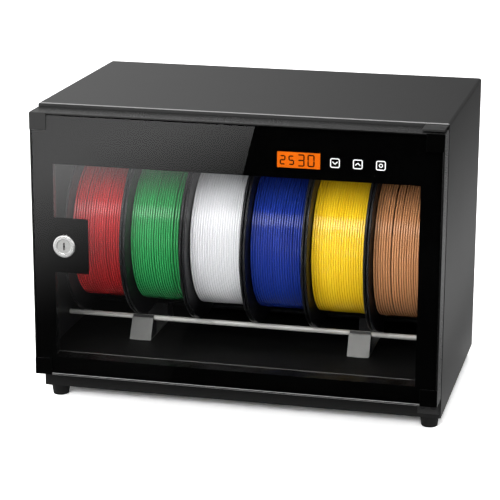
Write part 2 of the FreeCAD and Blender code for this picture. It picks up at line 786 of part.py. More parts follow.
def lcd_panel():
    width, height = lcd_size[0] / 2 + lcd_rim, lcd_size[1] / 2 + lcd_rim
    return block(lcd_x - width, lcd_x + width, print_back, lcd_back, lcd_z - height, lcd_z + height)


def control_board():
    margin = control_board_margin
    board = block(control_left + margin, control_right - margin, lcd_back, lcd_back + board_thickness,
                  control_bottom + margin, control_top - margin)
    back = lcd_back + board_thickness
    width, height, thickness = control_chip
    chip = block(lcd_x - width / 2, lcd_x + width / 2, back, back + thickness,
                 lcd_z - height / 2, lcd_z + height / 2)
    width, height, thickness = control_plug
    plug_right = control_right - control_plug_margin
    plug = block(plug_right - width, plug_right, back, back + thickness,
                 lcd_z - height / 2, lcd_z + height / 2)
    low = control_bottom + margin
    pads = [block(x - control_pad / 2, x + control_pad / 2, print_back, lcd_back, low, low + control_pad)
            for x in (control_left + control_pad_margin, control_right - control_pad_margin)]
    return joined([board, chip, plug] + pads)


def lock_body():
    """Chromed bezel and threaded barrel, clamped through the glass by its nut."""
    radius, height = lock_bezel
    bezel = bar(radius, lock_centre + Y * (glass_front - height), Y, height)
    rim = [e for e in bezel.Edges if e.BoundBox.YMax < glass_front - height + 1 and e.BoundBox.XLength > 1]
    bezel = bezel.makeFillet(lock_bezel_round, rim)
    barrel = bar(lock_barrel_radius, lock_centre + Y * glass_front, Y, lock_barrel_length)
    body = joined([bezel, barrel])
    return body.cut(bar(lock_plug_radius + running_gap, lock_centre + Y * (glass_front - height - 1), Y,
                        height + lock_barrel_length + 2))


def lock_nut_ring():
    corner_radius, thickness = lock_nut
    seat = lock_centre + Y * print_back
    nut = hexagon(corner_radius, seat, thickness)
    return nut.cut(bar(lock_barrel_radius + running_gap, seat - Y, Y, thickness + 2))


lock_barrel_back = glass_front + lock_barrel_length
cam_front = sheet + lock_cam_gap
cam_back = cam_front + lock_cam_thickness


def lock_plug():
    """Turning plug with its key slot in front and a square tail for the cam."""
    face = glass_front - lock_bezel[1] + lock_plug_recess
    plug = bar(lock_plug_radius, lock_centre + Y * face, Y, lock_barrel_back - face)
    half = lock_tail / 2
    tail = block(lock_x - half, lock_x + half, lock_barrel_back - 1, cam_back, lock_z - half, lock_z + half)
    plug = joined([plug, tail])
    width, height, depth = key_slot
    plug = plug.cut(block(lock_x - width / 2, lock_x + width / 2, face - 1, face + depth,
                          lock_z - height / 2, lock_z + height / 2))
    return plug.cut(bar(screw_hole, lock_centre + Y * cam_back, -Y, 2 * lock_tail))


def lock_cam():
    """Flat cam. Hanging down it clears the case, and turned left it catches behind the front flange."""
    half = lock_cam_width / 2
    hub = bar(lock_cam_hub_radius, lock_centre + Y * cam_front, Y, lock_cam_thickness)
    arm = block(lock_x - half, lock_x + half, cam_front, cam_back, lock_z - lock_cam_reach + half, lock_z)
    tip = bar(half, lock_centre + Y * cam_front - Z * (lock_cam_reach - half), Y, lock_cam_thickness)
    square = lock_tail / 2 + running_gap
    cam = joined([hub, arm, tip])
    return cam.cut(block(lock_x - square, lock_x + square, cam_front - 1, cam_back + 1,
                         lock_z - square, lock_z + square))


def cam_screw():
    radius, height = cam_screw_head
    head = bar(radius, lock_centre + Y * cam_back, Y, height)
    return joined([head, bar(screw_radius, lock_centre + Y * cam_back, -Y, lock_tail)])


def spool(left):
    """Moulded spool: two rimmed flanges on a hub."""
    start = Vector(left, spool_axis_y, spool_axis_z)
    flange = bar(spool_radius, start, X, spool_flange)
    rim = [e for e in flange.Edges if e.BoundBox.YLength > spool_radius]
    flange = flange.makeFillet(spool_rim_round, rim)
    other = flange.copy()
    other.translate(X * (spool_width - spool_flange))
    shape = joined([flange, other, bar(hub_radius, start, X, spool_width)])
    return shape.cut(bar(spool_bore_radius, start - X, X, spool_width + 2))


def filament_ring(left, inner_radius, outer_radius):
    start = Vector(left + spool_flange + core_end_gap, spool_axis_y, spool_axis_z)
    length = spool_width - 2 * spool_flange - 2 * core_end_gap
    return bar(outer_radius, start, X, length).cut(bar(inner_radius, start - X, X, length + 2))


def filament_core(left):
    """The wound filament below its outer layer, as one plain ring."""
    return filament_ring(left, hub_radius + core_end_gap, wound_radius - strand - layer_clearance)


def filament_winding(left):
    """The outer layer of turns, as one plain sleeve a strand thick."""
    return filament_ring(left, wound_radius - strand, wound_radius)


os.makedirs("parts", exist_ok=True)

save("cabinet_shell", cabinet_shell())
save("base_pan", base_pan())
save("floor_plate", floor_plate())
save("rear_panel", rear_panel())
rear_screw_length = rear_sheet + sheet + screw_grip / 2
save("rear_panel_screws", *[screw(place, -Y, rear_screw_length) for place in rear_screw_places])
save("feet", *[foot(place) for place in foot_places])
foot_seat = foot_recess[1] - foot_height
foot_screw_length = sheet + screw_grip - foot_seat
save("foot_screws", *[screw(place + Z * foot_seat, Z, foot_screw_length) for place in foot_places])

save("rod_stands", *[rod_stand(x) for x in stand_places])
front_saddles = [front_saddle(x) for x in stand_places]
save("rod_saddles", *front_saddles, *[s.mirror(Vector(0, spool_axis_y, 0), Y) for s in front_saddles])
save("stand_screws", *[screw(place, Z, rod_height / 2) for place in stand_screw_places])
rod_length = 2 * (inner_half - rod_end_gap)
for name, rod_y in zip(("front_rod", "rear_rod"), rod_places):
    rod = bar(rod_radius, Vector(-rod_length / 2, rod_y, rod_z), X, rod_length)
    save(name, rod.makeChamfer(rod_radius / 6, [e for e in rod.Edges if e.BoundBox.XLength < 1]))
    print(name, "axis", place_text(Vector(0, rod_y, rod_z)))

save("upper_hinge_plate", upper_hinge_plate())
save("lower_hinge_plate", lower_hinge_plate())
save("hinge_pins", *hinge_pins())
upper_screw_length = case_height - sheet / 2 - upper_plate_z - screw_hole_gap
save("hinge_screws", *[screw(place, Z, upper_screw_length) for place in upper_hinge_screws],
     *[screw(place, Y, hinge_plate_thickness + sheet + screw_grip) for place in lower_hinge_screws])
save("hinge_bushes", hinge_bush(Vector(hinge_x, hinge_y, door_top), -Z),
     hinge_bush(Vector(hinge_x, hinge_y, door_bottom), Z))
print("door hinge", place_text(Vector(hinge_x, hinge_y, door_bottom)))

save("dryer_housing", dryer_housing())
save("fan_frame", fan_frame())
save("fan_rotor", fan_rotor())
save("heater_fins", heater_fins())
save("heater_ends", *heater_ends())
standoff_radius, standoff_height = standoff
board_top = Z * (standoff_height + board_thickness)
save("unit_screws", *[screw(place, -Y, unit_screw_length) for place in dryer_screw_places],
     *[screw(place, Y, unit_screw_length) for place in fan_screw_places],
     *[screw(place + board_top, -Z, standoff_height) for place in standoff_places])
print("fan axis", place_text(Vector(0, fan_front, dryer_z)))

save("supply_board", supply_board())
save("board_standoffs", *[bar(standoff_radius, place, Z, standoff_height).cut(
    bar(screw_hole, place, Z, standoff_height)) for place in standoff_places])
save("dc_inlet", dc_inlet())
save("dc_inlet_nut", dc_inlet_nut())
save("humidity_sensor", humidity_sensor())

save("door_stiles", *door_stiles())
save("door_rails", *door_rails())
save("corner_caps", *[corner_cap(side, end) for side in (-1, 1) for end in (-1, 1)])
save("door_glass", door_glass())
save("glass_border", glass_border())
save("door_seal", door_seal())
save("control_cover", control_cover())
save("lcd_panel", lcd_panel())
save("control_board", control_board())

save("lock_body", lock_body())
save("lock_nut", lock_nut_ring())
save("lock_plug", lock_plug())
save("lock_cam", lock_cam())
save("cam_screw", cam_screw())
print("lock axis", place_text(lock_centre + Y * glass_front))

for index in range(spool_count):
    left = index * spool_pitch - spool_row / 2
    number = str(index + 1)
    save("spool_" + number, spool(left))
    save("filament_core_" + number, filament_core(left))
    save("filament_winding_" + number, filament_winding(left))
    print("spool", number, "axis", place_text(Vector(left, spool_axis_y, spool_axis_z)))
print("case", 2 * half_width, case_depth, case_height)
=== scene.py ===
import json
import math

import bpy
import numpy as np
from mathutils import Matrix, Vector

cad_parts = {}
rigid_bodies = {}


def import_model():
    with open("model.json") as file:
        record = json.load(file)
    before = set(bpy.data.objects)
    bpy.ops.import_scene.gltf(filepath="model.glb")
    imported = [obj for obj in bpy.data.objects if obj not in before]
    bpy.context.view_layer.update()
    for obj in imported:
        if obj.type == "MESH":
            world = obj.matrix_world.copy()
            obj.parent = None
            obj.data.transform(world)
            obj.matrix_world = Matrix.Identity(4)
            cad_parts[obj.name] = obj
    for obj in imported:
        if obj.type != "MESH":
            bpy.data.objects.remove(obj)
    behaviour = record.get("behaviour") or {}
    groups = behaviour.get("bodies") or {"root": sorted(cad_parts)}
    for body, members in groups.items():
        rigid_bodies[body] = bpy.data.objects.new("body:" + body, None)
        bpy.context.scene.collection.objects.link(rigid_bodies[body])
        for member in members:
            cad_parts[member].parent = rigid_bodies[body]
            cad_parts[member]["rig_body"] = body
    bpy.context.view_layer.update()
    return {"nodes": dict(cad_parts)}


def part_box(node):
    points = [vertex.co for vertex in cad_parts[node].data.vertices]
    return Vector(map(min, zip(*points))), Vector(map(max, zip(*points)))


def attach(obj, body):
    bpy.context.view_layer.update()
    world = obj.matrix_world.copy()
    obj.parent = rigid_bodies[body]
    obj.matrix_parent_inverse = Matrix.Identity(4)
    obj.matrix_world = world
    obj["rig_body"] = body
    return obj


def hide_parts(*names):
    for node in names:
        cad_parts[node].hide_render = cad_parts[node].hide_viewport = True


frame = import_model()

nodes = frame["nodes"]
scene = bpy.context.scene
scene.view_settings.view_transform = "Standard"


# Studio: a pale floor under an even bright dome, with soft lamps in front, on both sides and above.
# A weak strip lamp inside the cabinet, behind the top of the door, gives the windings their highlight.
# The dome is white to the eye, to metal and to glass, and lights the cabinet at a plain level.
dome_light = 0.80
dome_seen = 1.0
floor_size = 14.0
floor_pale = 0.60
floor_seen = 2.0
cabinet_middle = (0, 0, 0.18)
lamps = {
    "front_softbox": {"place": (-0.55, -1.95, 1.20), "size": (1.0, 0.8), "power": 32.0,
                      "target": cabinet_middle},
    "right_softbox": {"place": (1.0, -1.8, 0.8), "size": (0.8, 0.8), "power": 5.0,
                      "target": cabinet_middle},
    "left_softbox": {"place": (-2.2, -0.6, 1.1), "size": (1.2, 1.2), "power": 5.0,
                     "target": cabinet_middle},
    "top_softbox": {"place": (0.0, -0.9, 2.3), "size": (1.6, 0.5), "power": 12.0,
                    "target": cabinet_middle},
    "chamber_strip": {"place": (0.0, -0.122, 0.258), "size": (0.42, 0.036), "power": 0.105,
                      "target": (0, -0.05, 0.20)},
}


def seen_directly(tree, *others):
    """A value of 1 for rays of the eye and of the other kinds named, and 0 for light on things."""
    path = tree.nodes.new("ShaderNodeLightPath")
    seen = path.outputs["Is Camera Ray"]
    for name in others:
        either = tree.nodes.new("ShaderNodeMath")
        either.operation = "MAXIMUM"
        tree.links.new(seen, either.inputs[0])
        tree.links.new(path.outputs[name], either.inputs[1])
        seen = either.outputs[0]
    return seen


scene.world = bpy.data.worlds.new("studio_dome")
scene.world.use_nodes = True
dome = scene.world.node_tree
dome_level = dome.nodes.new("ShaderNodeMapRange")
dome_level.inputs["To Min"].default_value = dome_light
dome_level.inputs["To Max"].default_value = dome_seen
dome.links.new(seen_directly(dome, "Is Glossy Ray", "Is Transmission Ray"), dome_level.inputs["Value"])
dome.nodes["Background"].inputs["Color"].default_value = (1, 1, 1, 1)
dome.links.new(dome_level.outputs["Result"], dome.nodes["Background"].inputs["Strength"])

for name, lamp in lamps.items():
    light = bpy.data.lights.new(name, "AREA")
    light.shape = "RECTANGLE"
    light.size, light.size_y = lamp["size"]
    light.energy = lamp["power"]
    holder = bpy.data.objects.new(name, light)
    holder.location = lamp["place"]
    holder.rotation_euler = (Vector(lamp["target"]) - holder.location).to_track_quat("-Z", "Y").to_euler()
    holder.visible_camera = False
    holder.visible_transmission = False
    scene.collection.objects.link(holder)

bpy.ops.object.select_all(action="DESELECT")
bpy.ops.mesh.primitive_plane_add(size=floor_size)
floor = bpy.context.object
floor.name = "studio_floor"
floor_paint = bpy.data.materials.new("floor_paint")
floor_paint.use_nodes = True
floor_tree = floor_paint.node_tree
floor_tree.nodes.remove(floor_tree.nodes["Principled BSDF"])
floor_shader = floor_tree.nodes.new("ShaderNodeBsdfDiffuse")
floor_level = floor_tree.nodes.new("ShaderNodeMapRange")
floor_level.inputs["To Min"].default_value = floor_pale
floor_level.inputs["To Max"].default_value = floor_seen
floor_tree.links.new(seen_directly(floor_tree, "Is Transmission Ray"), floor_level.inputs["Value"])
floor_tree.links.new(floor_level.outputs["Result"], floor_shader.inputs["Color"])
floor_tree.links.new(floor_shader.outputs[0], floor_tree.nodes["Material Output"].inputs["Surface"])
floor.data.materials.append(floor_paint)


# Cards round the cabinet that show only in its reflections, so that glass and glossy paint stay dark.
# One stands in front, one behind, and four lie on the floor.
# Most of them fade from one level to another along a slope.
card_lift = 0.002
cards = {
    "front_card": {"corners": ((-4.0, -4.0, 0.0), (4.0, -4.0, 0.0), (4.0, -4.0, 3.0), (-4.0, -4.0, 3.0)),
                   "slope": (1, 0, 0), "span": (-4.0, 4.0), "levels": (0.05, 0.05)},
    "back_card": {"corners": ((-4.0, 3.0, 0.0), (6.0, 3.0, 0.0), (6.0, 3.0, 3.0), (-4.0, 3.0, 3.0)),
                  "slope": (1, 0, 0), "span": (-1.5, 0.2), "levels": (0.52, 0.14)},
    "dark_card": {"corners": ((-3.0, -4.0, card_lift), (3.0, -4.0, card_lift), (3.0, -0.17, card_lift),
                              (-3.0, -0.17, card_lift)),
                  "slope": (1, 0, 0), "span": (-3.0, 3.0), "levels": (0.0, 0.0)},
    "near_side_card": {"corners": ((0.26, -0.1, card_lift), (0.38, -0.1, card_lift), (0.38, 3.0, card_lift),
                                   (0.26, 3.0, card_lift)),
                       "slope": (1, 0, 0), "span": (0.27, 0.35), "levels": (0.02, 0.80)},
    "far_side_card": {"corners": ((0.38, -0.1, card_lift), (4.0, -0.1, card_lift), (6.0, 3.0, card_lift),
                                  (0.38, 3.0, card_lift)),
                      "slope": (1, 0, 0), "span": (0.38, 0.47), "levels": (0.80, 0.0)},
    "pale_card": {"corners": ((-2.6, -3.2, 2 * card_lift), (-0.618, -3.2, 2 * card_lift),
                              (-0.262, -1.263, 2 * card_lift), (-0.128, -0.408, 2 * card_lift),
                              (-0.090, -0.20, 2 * card_lift), (-2.6, -0.20, 2 * card_lift)),
                  "slope": (-1.0, -0.25, 0.0), "span": (0.40, 0.95), "levels": (0.02, 1.8)},
}
for name, card in cards.items():
    card_mesh = bpy.data.meshes.new(name)
    card_mesh.from_pydata(card["corners"], [], [tuple(range(len(card["corners"])))])
    card_sheet = bpy.data.objects.new(name, card_mesh)
    scene.collection.objects.link(card_sheet)
    card_sheet.visible_camera = False
    card_sheet.visible_diffuse = False
    card_sheet.visible_shadow = False
    card_paper = bpy.data.materials.new(name)
    card_paper.use_nodes = True
    card_tree = card_paper.node_tree
    card_tree.nodes.remove(card_tree.nodes["Principled BSDF"])
    card_place = card_tree.nodes.new("ShaderNodeTexCoord")
    card_slope = card_tree.nodes.new("ShaderNodeVectorMath")
    card_slope.operation = "DOT_PRODUCT"
    card_slope.inputs[1].default_value = card["slope"]
    card_fade = card_tree.nodes.new("ShaderNodeMapRange")
    card_fade.interpolation_type = "SMOOTHSTEP"
    card_fade.inputs["From Min"].default_value, card_fade.inputs["From Max"].default_value = card["span"]
    card_fade.inputs["To Min"].default_value, card_fade.inputs["To Max"].default_value = card["levels"]
    card_path = card_tree.nodes.new("ShaderNodeLightPath")
    card_clear = card_tree.nodes.new("ShaderNodeBsdfTransparent")
    card_glow = card_tree.nodes.new("ShaderNodeEmission")
    card_mix = card_tree.nodes.new("ShaderNodeMixShader")
    card_tree.links.new(card_place.outputs["Object"], card_slope.inputs[0])
    card_tree.links.new(card_slope.outputs["Value"], card_fade.inputs["Value"])
    card_tree.links.new(card_fade.outputs["Result"], card_glow.inputs["Strength"])
    card_tree.links.new(card_path.outputs["Glossy Depth"], card_mix.inputs[0])
    card_tree.links.new(card_clear.outputs[0], card_mix.inputs[1])
    card_tree.links.new(card_glow.outputs[0], card_mix.inputs[2])
    card_tree.links.new(card_mix.outputs[0], card_tree.nodes["Material Output"].inputs["Surface"])
    card_mesh.materials.append(card_paper)


# Camera at the photograph's viewing angle, from the front, right and above.
# It stands about two metres off with a long lens, and is rolled by a hair.
camera_place = Vector((0.4856, -2.0784, 0.7564))
camera_turn = math.radians(13.55)
camera_dip = math.radians(15.73)
camera_roll = math.radians(0.22)
camera_lens = 139.83
camera_sensor = 36.0
camera = bpy.data.objects.new("camera", bpy.data.cameras.new("camera"))
camera.data.lens = camera_lens
camera.data.sensor_width = camera_sensor
camera_ahead = Vector((-math.sin(camera_turn) * math.cos(camera_dip),
                       math.cos(camera_turn) * math.cos(camera_dip), -math.sin(camera_dip)))
level_right = Vector((math.cos(camera_turn), math.sin(camera_turn), 0))
level_up = level_right.cross(camera_ahead)
camera_right = level_right * math.cos(camera_roll) + level_up * math.sin(camera_roll)
camera_up = camera_right.cross(camera_ahead)
camera_axes = Matrix((camera_right, camera_up, -camera_ahead)).transposed()
camera.matrix_world = Matrix.Translation(camera_place) @ camera_axes.to_4x4()
scene.collection.objects.link(camera)
scene.camera = camera


# Case: folded sheet steel with a satin black powder coat, inside and out.
# The folded edges are slightly round, and the coat has a fine even grain.
# Along the front edge of the top a pale grey strip is painted into the coat as a highlight.
grain_share = 0.5
weld_gap = 0.00001
flat_angle = math.radians(1)
sharp_angle = math.radians(35)
smooth_angle = math.radians(50)
flat_face_weight = 100
folded_edge = 0.0005
bend_edge = 0.0007
highlight_strip_width = 0.0009
painted_highlight_grey = 0.32

grain_group = bpy.data.node_groups.new("fine_grain", "ShaderNodeTree")
grain_group.interface.new_socket("Vector", in_out="INPUT", socket_type="NodeSocketVector")
grain_group.interface.new_socket("Scale", in_out="INPUT", socket_type="NodeSocketFloat")
grain_group.interface.new_socket("Cloud Scale", in_out="INPUT", socket_type="NodeSocketFloat")
grain_group.interface.new_socket("Tone", in_out="OUTPUT", socket_type="NodeSocketFloat")
grain_group.interface.new_socket("Height", in_out="OUTPUT", socket_type="NodeSocketFloat")
grain_in = grain_group.nodes.new("NodeGroupInput")
grain_out = grain_group.nodes.new("NodeGroupOutput")
grain_fine = grain_group.nodes.new("ShaderNodeTexNoise")
grain_cloud = grain_group.nodes.new("ShaderNodeTexNoise")
grain_mean = grain_group.nodes.new("ShaderNodeMath")
grain_mean.operation = "MULTIPLY_ADD"
grain_mean.inputs[1].default_value = grain_share
grain_half = grain_group.nodes.new("ShaderNodeMath")
grain_half.operation = "MULTIPLY"
grain_half.inputs[1].default_value = grain_share
for noise, scale in ((grain_fine, "Scale"), (grain_cloud, "Cloud Scale")):
    grain_group.links.new(grain_in.outputs["Vector"], noise.inputs["Vector"])
    grain_group.links.new(grain_in.outputs[scale], noise.inputs["Scale"])
grain_group.links.new(grain_cloud.outputs["Fac"], grain_half.inputs[0])
grain_group.links.new(grain_fine.outputs["Fac"], grain_mean.inputs[0])
grain_group.links.new(grain_half.outputs[0], grain_mean.inputs[2])
grain_group.links.new(grain_mean.outputs[0], grain_out.inputs["Tone"])
grain_group.links.new(grain_fine.outputs["Fac"], grain_out.inputs["Height"])


def finish(name, dark, light, rough, grain, cloud=12.0, bump=0.1, depth=0.0001, metallic=0.0, shine=0.5,
           stretch=(1, 1, 1)):
    """A surface whose colour, gloss and relief follow one grain, between two colours and roughnesses."""
    material = bpy.data.materials.new(name)
    material.use_nodes = True
    tree = material.node_tree
    shader = tree.nodes["Principled BSDF"]
    shader.inputs["Metallic"].default_value = metallic
    shader.inputs["Specular IOR Level"].default_value = shine
    place = tree.nodes.new("ShaderNodeTexCoord")
    mapping = tree.nodes.new("ShaderNodeMapping")
    mapping.inputs["Scale"].default_value = stretch
    pattern = tree.nodes.new("ShaderNodeGroup")
    pattern.node_tree = grain_group
    pattern.inputs["Scale"].default_value = grain
    pattern.inputs["Cloud Scale"].default_value = cloud
    colour = tree.nodes.new("ShaderNodeMix")
    colour.data_type = "RGBA"
    colour.inputs["A"].default_value = (*dark, 1)
    colour.inputs["B"].default_value = (*light, 1)
    gloss = tree.nodes.new("ShaderNodeMapRange")
    gloss.inputs["To Min"].default_value, gloss.inputs["To Max"].default_value = rough
    relief = tree.nodes.new("ShaderNodeBump")
    relief.inputs["Strength"].default_value = bump
    relief.inputs["Distance"].default_value = depth
    tree.links.new(place.outputs["Object"], mapping.inputs["Vector"])
    tree.links.new(mapping.outputs["Vector"], pattern.inputs["Vector"])
    tree.links.new(pattern.outputs["Tone"], colour.inputs["Factor"])
    tree.links.new(pattern.outputs["Tone"], gloss.inputs["Value"])
    tree.links.new(pattern.outputs["Height"], relief.inputs["Height"])
    tree.links.new(colour.outputs["Result"], shader.inputs["Base Color"])
    tree.links.new(gloss.outputs["Result"], shader.inputs["Roughness"])
    tree.links.new(relief.outputs["Normal"], shader.inputs["Normal"])
    return material


def dress(material, *names):
    """Puts a finish on CAD pieces that show as they are."""
    for name in names:
        nodes[name].data.materials.clear()
        nodes[name].data.materials.append(material)


def softened(name, material, width, segments=2, edge_finish=None):
    """A copy of a piece with its sharp edges rounded, which stands for it.

    The rounded edges get a finish of their own if one is given.
    """
    bpy.ops.object.select_all(action="DESELECT")
    piece = bpy.data.objects.new(name + "_soft", nodes[name].data.copy())
    scene.collection.objects.link(piece)
    bpy.context.view_layer.objects.active = piece
    piece.select_set(True)
    bpy.ops.mesh.customdata_custom_splitnormals_clear()
    bpy.ops.object.mode_set(mode="EDIT")
    bpy.ops.mesh.select_all(action="SELECT")
    bpy.ops.mesh.remove_doubles(threshold=weld_gap)
    bpy.ops.mesh.dissolve_limited(angle_limit=flat_angle)
    bpy.ops.object.mode_set(mode="OBJECT")
    piece.data.materials.clear()
    piece.data.materials.append(material)
    edge = piece.modifiers.new("edge", "BEVEL")
    if edge_finish:
        piece.data.materials.append(edge_finish)
        edge.material = 1
    edge.width = width
    edge.segments = segments
    edge.limit_method = "ANGLE"
    edge.angle_limit = sharp_angle
    bpy.ops.object.modifier_apply(modifier="edge")
    bpy.ops.object.shade_smooth_by_angle(angle=smooth_angle)
    level = piece.modifiers.new("level", "WEIGHTED_NORMAL")
    level.keep_sharp = True
    level.weight = flat_face_weight
    bpy.ops.object.modifier_apply(modifier="level")
    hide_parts(name)
    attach(piece, nodes[name]["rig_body"])
    return piece


powder_coat = finish("powder_coat", dark=(0.012, 0.012, 0.012), light=(0.022, 0.022, 0.022),
                     rough=(0.30, 0.38), grain=1600.0, cloud=6.0, bump=0.10, shine=0.4)
# A darker, duller copy of the coat: painted shade, for the floor inside the cabinet and the rounded edges
# of the shell.
painted_shade_coat = finish("painted_shade_coat", dark=(0.002, 0.002, 0.002), light=(0.005, 0.005, 0.005),
                       rough=(0.46, 0.58), grain=1600.0, cloud=6.0, bump=0.04, shine=0.12)
# A pale grey for rounded edges: a painted highlight on the sill of the floor plate and on the lower door
# bar.
painted_highlight_edge = finish("painted_highlight_edge", dark=(0.24, 0.24, 0.24), light=(0.40, 0.40, 0.40), rough=(0.30, 0.42),
                   grain=1200.0, cloud=30.0, bump=0.05)
# A darker copy of the coat for the base: painted shade under the door.
shaded_base_coat = finish("shaded_base_coat", dark=(0.004, 0.004, 0.004), light=(0.008, 0.008, 0.008),
                   rough=(0.30, 0.38), grain=1600.0, cloud=6.0, bump=0.10, shine=0.25)
shell_low, shell_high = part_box("cabinet_shell")
shell_coat = powder_coat.copy()
shell_coat.name = "shell_coat"
coat = shell_coat.node_tree
coat_shader = coat.nodes["Principled BSDF"]
# A thin strip along the front edge of the top, where a pale grey is painted into the coat as a highlight.
coat_place = coat.nodes.new("ShaderNodeTexCoord")
coat_axes = coat.nodes.new("ShaderNodeSeparateXYZ")
near_front = coat.nodes.new("ShaderNodeMath")
near_front.operation = "LESS_THAN"
near_front.inputs[1].default_value = shell_low.y + highlight_strip_width
near_top = coat.nodes.new("ShaderNodeMath")
near_top.operation = "GREATER_THAN"
near_top.inputs[1].default_value = shell_high.z - highlight_strip_width
painted_highlight_mask = coat.nodes.new("ShaderNodeMath")
painted_highlight_mask.operation = "MULTIPLY"
coat_colour = coat.nodes.new("ShaderNodeMix")
coat_colour.data_type = "RGBA"
coat_colour.inputs["B"].default_value = (painted_highlight_grey, painted_highlight_grey, painted_highlight_grey, 1)
coat.links.new(coat_place.outputs["Object"], coat_axes.inputs[0])
coat.links.new(coat_axes.outputs["Y"], near_front.inputs[0])
coat.links.new(coat_axes.outputs["Z"], near_top.inputs[0])
coat.links.new(near_front.outputs[0], painted_highlight_mask.inputs[0])
coat.links.new(near_top.outputs[0], painted_highlight_mask.inputs[1])
coat.links.new(painted_highlight_mask.outputs[0], coat_colour.inputs["Factor"])
coat.links.new(coat_shader.inputs["Base Color"].links[0].from_socket, coat_colour.inputs["A"])
coat.links.new(coat_colour.outputs["Result"], coat_shader.inputs["Base Color"])
# The shell's rounded edges take the darker copy of the coat: painted shade.
softened("cabinet_shell", shell_coat, bend_edge, edge_finish=painted_shade_coat)
softened("rear_panel", powder_coat, folded_edge)
# The base gets the darker copy of the coat: painted shade.
softened("base_pan", shaded_base_coat, folded_edge)
# The floor plate is painted in shade with the darker coat, and its rounded edges carry a painted highlight,
# the pale sill line.
softened("floor_plate", painted_shade_coat, folded_edge, edge_finish=painted_highlight_edge)
for name in ("upper_hinge_plate", "lower_hinge_plate"):
    softened(name, powder_coat, folded_edge)


# Feet: four round rubber buffers under the corners of the base.
# Each is moulded with a recess, and held by a screw in it.
foot_rubber = finish("foot_rubber", dark=(0.004, 0.004, 0.004), light=(0.009, 0.009, 0.009),
                     rough=(0.45, 0.60), grain=900.0, bump=0.25, shine=0.2)
dress(foot_rubber, "feet")


# Screws, nuts, standoffs and the cam of the lock: small zinc-plated steel parts.
# The screws of the hinges and of the rear panel are blackened.
zinc_plate = finish("zinc_plate", dark=(0.30, 0.30, 0.31), light=(0.48, 0.48, 0.49), rough=(0.25, 0.40),
                    grain=2500.0, bump=0.08, metallic=1.0)
dress(zinc_plate, "foot_screws", "stand_screws", "unit_screws", "cam_screw", "lock_nut", "lock_cam",
      "dc_inlet_nut", "board_standoffs")
black_zinc = finish("black_zinc", dark=(0.012, 0.012, 0.013), light=(0.026, 0.026, 0.028),
                    rough=(0.30, 0.45), grain=2500.0, bump=0.08, metallic=0.5, shine=0.3)
dress(black_zinc, "rear_panel_screws", "hinge_screws")


# Rod stands: folded strips of brushed sheet steel, held to the floor by screws.
# They carry the rod bearings, which are moulded from black nylon like the bushes of the hinge.
stand_edge = 0.0003
down_stand = (1, 1, 0.05)
stand_steel = finish("stand_steel", dark=(0.12, 0.12, 0.116), light=(0.23, 0.23, 0.222),
                     rough=(0.36, 0.50), grain=900.0, cloud=60.0, bump=0.10, metallic=0.4,
                     stretch=down_stand)
softened("rod_stands", stand_steel, stand_edge)
black_nylon = finish("black_nylon", dark=(0.010, 0.010, 0.011), light=(0.020, 0.020, 0.021),
                     rough=(0.35, 0.50), grain=1200.0, bump=0.10)
dress(black_nylon, "rod_saddles", "hinge_bushes")


# Rods and hinge pins: ground steel bars, polished in front and blued where they are hidden.
# The rods turn freely in their bearings, and the spools lie on them.
along_rod = (0.05, 1, 1)
polished_steel = finish("polished_steel", dark=(0.72, 0.71, 0.68), light=(0.88, 0.87, 0.84),
                        rough=(0.12, 0.20), grain=700.0, bump=0.03, metallic=0.55, stretch=along_rod)
dress(polished_steel, "front_rod")
blued_steel = finish("blued_steel", dark=(0.010, 0.010, 0.012), light=(0.022, 0.022, 0.025),
                     rough=(0.30, 0.42), grain=700.0, bump=0.03, metallic=0.6, shine=0.3,
                     stretch=along_rod)
dress(blued_steel, "rear_rod", "hinge_pins")


# Drying unit and electrics: moulded plastic covers, a fan, an aluminium heater core and circuit boards.
# The unit and its fan are held by screws, and the supply board stands on standoffs in the base.
moulded_edge = 0.0003
moulded_black = finish("moulded_black", dark=(0.014, 0.014, 0.015), light=(0.026, 0.026, 0.027),
                       rough=(0.45, 0.60), grain=1400.0, bump=0.2)
softened("dryer_housing", moulded_black, moulded_edge)
softened("control_cover", moulded_black, moulded_edge)
dress(moulded_black, "humidity_sensor", "dc_inlet", "heater_ends")
fan_plastic = finish("fan_plastic", dark=(0.010, 0.010, 0.011), light=(0.022, 0.022, 0.023),
                     rough=(0.30, 0.45), grain=800.0, bump=0.06)
dress(fan_plastic, "fan_frame", "fan_rotor")
heater_aluminium = finish("heater_aluminium", dark=(0.50, 0.50, 0.51), light=(0.70, 0.70, 0.71),
                          rough=(0.30, 0.45), grain=900.0, bump=0.08, metallic=1.0)
dress(heater_aluminium, "heater_fins")
board_green = finish("board_green", dark=(0.008, 0.075, 0.030), light=(0.020, 0.160, 0.060),
                     rough=(0.30, 0.45), grain=350.0, bump=0.08)
dress(board_green, "supply_board", "control_board")


# Door frame: black box-section bars with a lip round the glass, and moulded caps at the corners.
# The rounded edges of the lower bar are painted pale grey as a highlight, and a soft rubber gasket runs
# round the back.
frame_edge = 0.0004
cap_edge = 0.0003
seal_edge = 0.0006
faces_front = -0.9
frame_black = finish("frame_black", dark=(0.002, 0.002, 0.002), light=(0.004, 0.004, 0.004),
                     rough=(0.22, 0.32), grain=1500.0, bump=0.005, shine=0.4)
cap_plastic = finish("cap_plastic", dark=(0.0005, 0.0005, 0.0005), light=(0.0011, 0.0011, 0.0011),
                     rough=(0.02, 0.05), grain=1500.0, bump=0.0, shine=0.42)
softened("door_stiles", frame_black, frame_edge)
